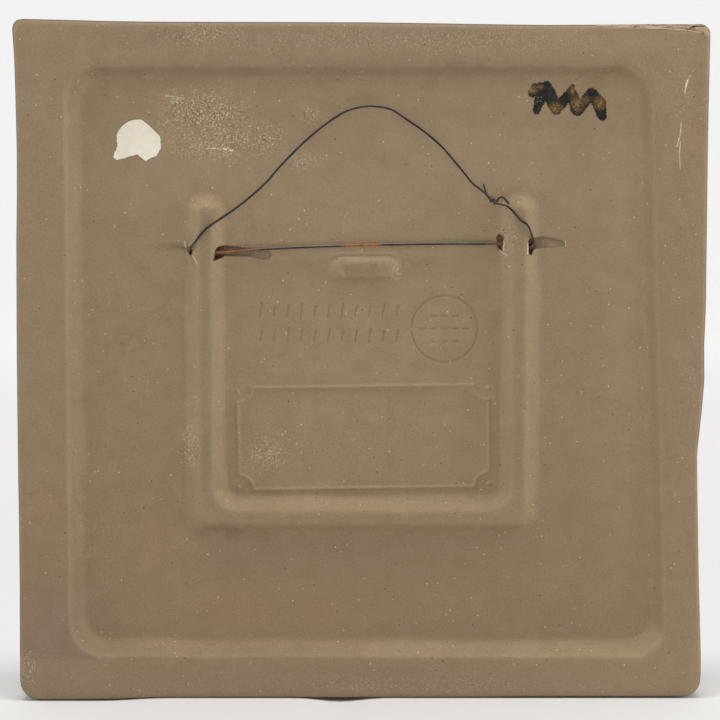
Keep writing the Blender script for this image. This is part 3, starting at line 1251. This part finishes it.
def sticker_mesh(sizes):
    """The sticker as a thin sheet that lies on the slab's field, in millimetres."""
    mesh = bmesh.new()
    edge = mesh.verts.layers.float.new("edge")
    corners = [mesh.verts.new((STICKER_X + x, 0, STICKER_Z + z)) for x, z in sticker_outline()]
    mesh.faces.new(corners).normal_update()
    inset = bmesh.ops.inset_region(mesh, faces=mesh.faces[:], thickness=PALE_EDGE, use_boundary=True)
    bmesh.ops.triangulate(mesh, faces=[face for face in mesh.faces if face not in inset["faces"]])
    x, z = np.array([(vertex.co.x, vertex.co.z) for vertex in mesh.verts]).T
    depth = back_depth(x, z, sizes) - STICKER_GAP
    for vertex, y in zip(mesh.verts, depth):
        vertex.co.y = y
        vertex[edge] = float(vertex.is_boundary)
    skin = bmesh.ops.extrude_face_region(mesh, geom=mesh.faces[:])["geom"]
    raised = [item for item in skin if isinstance(item, bmesh.types.BMVert)]
    bmesh.ops.translate(mesh, verts=raised, vec=(0, -STICKER_THICK, 0))
    bmesh.ops.recalc_face_normals(mesh, faces=mesh.faces)
    return mesh


# Settings

class SlabSettings(bpy.types.PropertyGroup):
    """Sizes and colours of the stoneware slab."""

    thickness: bpy.props.FloatProperty(
        name="Thickness", description="From the back's rim to the front's border",
        default=SLAB_BOX[1].y - SLAB_BOX[0].y, min=0.01, max=0.05, subtype="DISTANCE", unit="LENGTH",
    )
    recess_depth: bpy.props.FloatProperty(
        name="Recess depth", description="From the rim to the field", default=0.007, min=0.002, max=0.012,
        subtype="DISTANCE", unit="LENGTH",
    )
    ridge_height: bpy.props.FloatProperty(
        name="Ridge height", description="Of the U-shaped ridge over the field", default=0.0052, min=0.001,
        max=0.0065, subtype="DISTANCE", unit="LENGTH",
    )
    clay: bpy.props.FloatVectorProperty(
        name="Clay", description="Main tone of the fired clay", default=linear("998568"), size=4,
        subtype="COLOR", min=0, max=1,
    )
    clay_warm: bpy.props.FloatVectorProperty(
        name="Warm clay", description="Tone of the broad warmer clouds", default=linear("9b8568"), size=4,
        subtype="COLOR", min=0, max=1,
    )
    clay_dark: bpy.props.FloatVectorProperty(
        name="Dark clay", description="Tone of the small darker clouds", default=linear("8c7859"), size=4,
        subtype="COLOR", min=0, max=1,
    )


class WireSettings(bpy.types.PropertyGroup):
    """Size and colour of the hanging wire."""

    radius: bpy.props.FloatProperty(
        name="Radius", description="Half the wire's thickness", default=0.00055, min=0.0002, max=0.001,
        subtype="DISTANCE", unit="LENGTH",
    )
    iron: bpy.props.FloatVectorProperty(
        name="Iron", description="Tone of the wire's scale", default=linear("222221"), size=4,
        subtype="COLOR", min=0, max=1,
    )


class StickerSettings(bpy.types.PropertyGroup):
    """Colour of the torn sticker."""

    paper: bpy.props.FloatVectorProperty(
        name="Paper", description="Tone of the sticker's face", default=linear("faf2df"), size=4,
        subtype="COLOR", min=0, max=1,
    )


class StudioSettings(bpy.types.PropertyGroup):
    """The camera's place and the lights' strength."""

    distance: bpy.props.FloatProperty(
        name="Camera distance", description="From the camera to the slab's middle", default=1.21, min=0.3,
        max=5, subtype="DISTANCE", unit="LENGTH",
    )
    pitch: bpy.props.FloatProperty(
        name="Camera pitch", description="How far the camera looks down", default=math.radians(5.5), min=0,
        max=1, subtype="ANGLE", unit="ROTATION",
    )
    lens: bpy.props.FloatProperty(
        name="Focal length", description="For a frame 36 mm across", default=138.36, min=20, max=400,
        unit="CAMERA",
    )
    side_light: bpy.props.FloatProperty(
        name="Right light", description="Power of the soft light at the right", default=14.3, min=0,
        unit="POWER",
    )
    sky: bpy.props.FloatProperty(
        name="Sky", description="Strength of the even light all round", default=0.62, min=0,
    )


# Operators

class PLAQUE_OT_slab(bpy.types.Operator):
    """Build the stoneware slab with its relief, front and wire holes."""

    bl_idname = "plaque.slab"
    bl_label = "Build slab"
    bl_options = {"REGISTER", "UNDO"}

    def execute(self, context):
        sizes = context.scene.plaque_slab
        mesh = slab_blank(sizes)
        set_down(mesh)
        slab = new_object("stoneware_slab_dressed", mesh, stoneware(sizes), "stoneware_slab")
        bored(slab, [bore_cutter(*bore) for bore in BORES])
        mark_slab(slab.data)
        return {"FINISHED"}


class PLAQUE_OT_wire(bpy.types.Operator):
    """Build the hanging wire with its twisted ends."""

    bl_idname = "plaque.wire"
    bl_label = "Build wire"
    bl_options = {"REGISTER", "UNDO"}

    def execute(self, context):
        settings = context.scene.plaque_wire
        mesh = wire_mesh(settings.radius / MM)
        set_down(mesh)
        wire = new_object("hanging_wire_dressed", mesh, iron_wire(settings), "hanging_wire")
        write_attribute(wire.data, "rust", wire_rust(wire.data))
        write_attribute(wire.data, "bare", rubbed_flanks(wire.data))
        return {"FINISHED"}


class PLAQUE_OT_sticker(bpy.types.Operator):
    """Build the torn paper sticker on the slab's field."""

    bl_idname = "plaque.sticker"
    bl_label = "Build sticker"
    bl_options = {"REGISTER", "UNDO"}

    def execute(self, context):
        settings = context.scene.plaque_sticker
        mesh = sticker_mesh(context.scene.plaque_slab)
        set_down(mesh)
        new_object("paper_sticker_dressed", mesh, sticker_paper(settings), "paper_sticker")
        return {"FINISHED"}


def paper_dip(x, y):
    """How far the paper gives way under the slab's low left corner and bows a little beside it."""
    corner = CORNER_DIP * smooth_step((-0.085 - x) / 0.03) * smooth_step((x + 0.2) / 0.03)
    bow = BOW_DIP * fading(np.abs(x - BOW_X), BOW_HALF)
    return (corner + bow) * fading(np.abs(y) - 0.02, 0.06)


def studio_backdrop():
    """A floor that turns up into a wall, as one swept sheet, with its slight dips under the slab."""
    mesh = bmesh.new()
    columns = filled([-PAPER_HALF, -PAPER_NEAR, DIP_FROM, DIP_TO, PAPER_NEAR, PAPER_HALF], 3.0)
    columns = np.unique(np.concatenate([columns, np.arange(DIP_FROM, DIP_TO, 0.005)]))
    front = [mesh.verts.new((x, PAPER_FRONT, PAPER_LEVEL)) for x in columns]
    edges = [mesh.edges.new(pair) for pair in zip(front, front[1:])]
    rows = [-0.5] + list(np.arange(-0.09, 0.091, 0.01)) + [PAPER_TURN]
    steps = [(0, row - before, 0) for before, row in zip([PAPER_FRONT] + rows, rows)]
    turn = 0.13
    for a in np.arange(0, 1.5, turn):
        steps.append((0, TURN_RADIUS * (math.sin(a + turn) - math.sin(a)),
                      TURN_RADIUS * (math.cos(a) - math.cos(a + turn))))
    for step in steps + [(0, 0, WALL_HIGH)]:
        grown = bmesh.ops.extrude_edge_only(mesh, edges=edges)["geom"]
        bmesh.ops.translate(mesh, verts=[v for v in grown if isinstance(v, bmesh.types.BMVert)], vec=step)
        edges = [e for e in grown if isinstance(e, bmesh.types.BMEdge) and all(v in grown for v in e.verts)]
    for vertex in mesh.verts:
        vertex.co.z -= paper_dip(vertex.co.x, vertex.co.y)
    faced_out(mesh)
    sheet = mesh_object("studio_backdrop", mesh)
    sheet.data.materials.append(backdrop_paper())
    return sheet


def soft_light(name, place, size, power):
    """An area light that faces the slab's middle."""
    light = bpy.data.lights.new(name, "AREA")
    light.shape = "RECTANGLE"
    light.size, light.size_y = size
    light.energy = power
    obj = in_scene(name, light)
    obj.location = place
    obj.rotation_euler = (Vector(LIT_MIDDLE) - Vector(place)).to_track_quat("-Z", "Y").to_euler()


class PLAQUE_OT_studio(bpy.types.Operator):
    """Set up the floor, backdrop, lights and camera."""

    bl_idname = "plaque.studio"
    bl_label = "Build studio"
    bl_options = {"REGISTER", "UNDO"}

    def execute(self, context):
        settings = context.scene.plaque_studio
        scene = context.scene
        studio_backdrop()
        for name, place, size, share in SOFTBOXES:
            soft_light(name, place, size, settings.side_light * share)

        world = bpy.data.worlds.new("even_sky")
        world.use_nodes = True
        sky = world.node_tree.nodes["Background"]
        sky.inputs["Color"].default_value = linear("fbfbfd")
        sky.inputs["Strength"].default_value = settings.sky
        scene.world = world
        scene.view_settings.view_transform = "Standard"
        scene.view_settings.look = "None"

        camera = in_scene("camera", bpy.data.cameras.new("camera"))
        camera.data.lens = settings.lens
        camera.data.sensor_width = 36
        back = Vector((0, -math.cos(settings.pitch), math.sin(settings.pitch)))
        camera.location = Vector(CAMERA_AIM) + settings.distance * back
        camera.rotation_euler = (-back).to_track_quat("-Z", "Y").to_euler()
        scene.camera = camera
        return {"FINISHED"}


class PLAQUE_PT_panel(bpy.types.Panel):
    """Lists the plaque's sizes, colours and operators in the sidebar."""

    bl_idname = "PLAQUE_PT_panel"
    bl_label = "Stoneware plaque"
    bl_space_type = "VIEW_3D"
    bl_region_type = "UI"
    bl_category = "Plaque"

    def draw(self, context):
        for group, operator in PANEL_ROWS:
            box = self.layout.box()
            settings = getattr(context.scene, group)
            for name in settings.bl_rna.properties.keys():
                if name not in ("rna_type", "name"):
                    box.prop(settings, name)
            box.operator(operator)


PANEL_ROWS = (
    ("plaque_slab", "plaque.slab"),
    ("plaque_wire", "plaque.wire"),
    ("plaque_sticker", "plaque.sticker"),
    ("plaque_studio", "plaque.studio"),
)
GROUPS = {
    "plaque_slab": SlabSettings,
    "plaque_wire": WireSettings,
    "plaque_sticker": StickerSettings,
    "plaque_studio": StudioSettings,
}
CLASSES = (
    *GROUPS.values(), PLAQUE_OT_slab, PLAQUE_OT_wire, PLAQUE_OT_sticker, PLAQUE_OT_studio, PLAQUE_PT_panel,
)


def register():
    for cls in CLASSES:
        bpy.utils.register_class(cls)
    for name, group in GROUPS.items():
        setattr(bpy.types.Scene, name, bpy.props.PointerProperty(type=group))


def unregister():
    for name in GROUPS:
        delattr(bpy.types.Scene, name)
    for cls in reversed(CLASSES):
        bpy.utils.unregister_class(cls)


def main():
    """Builds the plaque and its studio."""
    register()
    bpy.ops.plaque.slab()
    bpy.ops.plaque.wire()
    bpy.ops.plaque.sticker()
    bpy.ops.plaque.studio()


if __name__ == "__main__":
    main()
